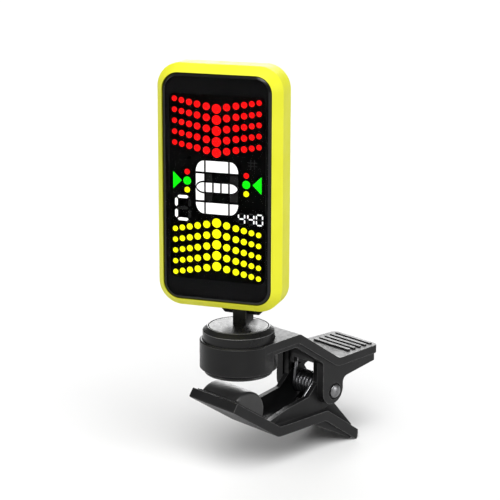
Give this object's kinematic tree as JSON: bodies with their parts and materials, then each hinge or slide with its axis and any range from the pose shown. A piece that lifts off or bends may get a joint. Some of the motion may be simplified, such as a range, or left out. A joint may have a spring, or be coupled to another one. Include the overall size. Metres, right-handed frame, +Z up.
{
  "type": "clip on tuner",
  "caption": "Clip-on instrument tuner: upright display head on a tilting, turning neck above a sprung clip with padded jaws and finger levers.",
  "frame": {"origin": "centre of the upper pad's rubber face, on the swivel axis; the clamped headstock's face lies at Z = 0", "axes": "+Z up the swivel axis, away from the clamped headstock; +X from the jaw's tip to the finger levers; Y along the clip's pivot pin"},
  "size_m": [0.0648, 0.0309, 0.1066],
  "materials": {
    "frame_plastic": "bright yellow moulded ABS, satin gloss",
    "black_plastic": "black moulded ABS with a fine spark texture",
    "black_rubber": "black silicone rubber",
    "steel": "bright steel",
    "spring_steel": "blackened spring steel",
    "black_screw": "black zinc-plated steel",
    "lens": "polished clear acrylic",
    "mask": "black print behind the lens",
    "lcd": "colour LCD, dark ground",
    "light_guide": "milky light guide",
    "board": "green solder mask",
    "component": "black moulded component",
    "brass": "bare brass",
    "cell": "nickel-plated can",
    "contact": "nickel-plated spring strip",
    "key_rubber": "black silicone key"
  },
  "bodies": {
    "clip_base": {"upper_jaw": "black_plastic", "upper_pad": "black_rubber", "pivot_pin": "steel", "pin_washer": "steel", "torsion_spring": "spring_steel"},
    "jaw": {"lower_jaw": "black_plastic", "lower_pad": "black_rubber"},
    "swivel": {"neck": "black_plastic", "swivel_collar": "black_plastic", "swivel_washer": "steel", "friction_spring": "spring_steel", "swivel_screw": "steel"},
    "head": {"bezel_frame": "frame_plastic", "front_lens": "lens", "lens_mask": "mask", "lcd_panel": "lcd", "backlight": "light_guide", "contact_strips": "black_rubber", "main_pcb": "board", "controller_chip": "component", "key_switches": "component", "piezo_disc": "brass", "coin_cell": "cell", "negative_contact": "contact", "positive_contact": "contact", "back_cover": "black_plastic", "case_screws": "black_screw", "tilt_screw": "black_screw", "tilt_nut": "black_screw"},
    "hatch": {"battery_hatch": "black_plastic"},
    "power": {"power_key": "key_rubber"},
    "pitch_down": {"pitch_down_key": "key_rubber"},
    "pitch_up": {"pitch_up_key": "key_rubber"}
  },
  "joints": [
    {"name": "jaw_hinge", "type": "hinge", "parent": "clip_base", "child": "jaw", "pos_m": [0.0268, 0, -0.0096], "axis": [0, -1, 0], "range_deg": [0, 32], "stiffness_Nm_per_rad": 0.25, "springref_deg": -28.65, "deforming": ["torsion_spring"]},
    {"name": "swivel_hinge", "type": "hinge", "parent": "clip_base", "child": "swivel", "pos_m": [0, 0, 0.0064], "axis": [0, 0, 1], "continuous": true},
    {"name": "tilt_hinge", "type": "hinge", "parent": "swivel", "child": "head", "pos_m": [0.00312, 0.00168, 0.0177], "axis": [0.4732, -0.881, 0], "range_deg": [-90, 30]},
    {"name": "hatch_slide", "type": "slide", "parent": "head", "child": "hatch", "axis": [0, 0, 1], "range_m": [0, 0.032]},
    {"name": "power_press", "type": "slide", "parent": "head", "child": "power", "axis": [-0.881, -0.4732, 0], "range_m": [0, 0.0004], "stiffness_N_per_m": 2000, "springref_m": -0.0004},
    {"name": "pitch_down_press", "type": "slide", "parent": "head", "child": "pitch_down", "axis": [-0.881, -0.4732, 0], "range_m": [0, 0.0004], "stiffness_N_per_m": 2000, "springref_m": -0.0004},
    {"name": "pitch_up_press", "type": "slide", "parent": "head", "child": "pitch_up", "axis": [-0.881, -0.4732, 0], "range_m": [0, 0.0004], "stiffness_N_per_m": 2000, "springref_m": -0.0004}
  ]
}
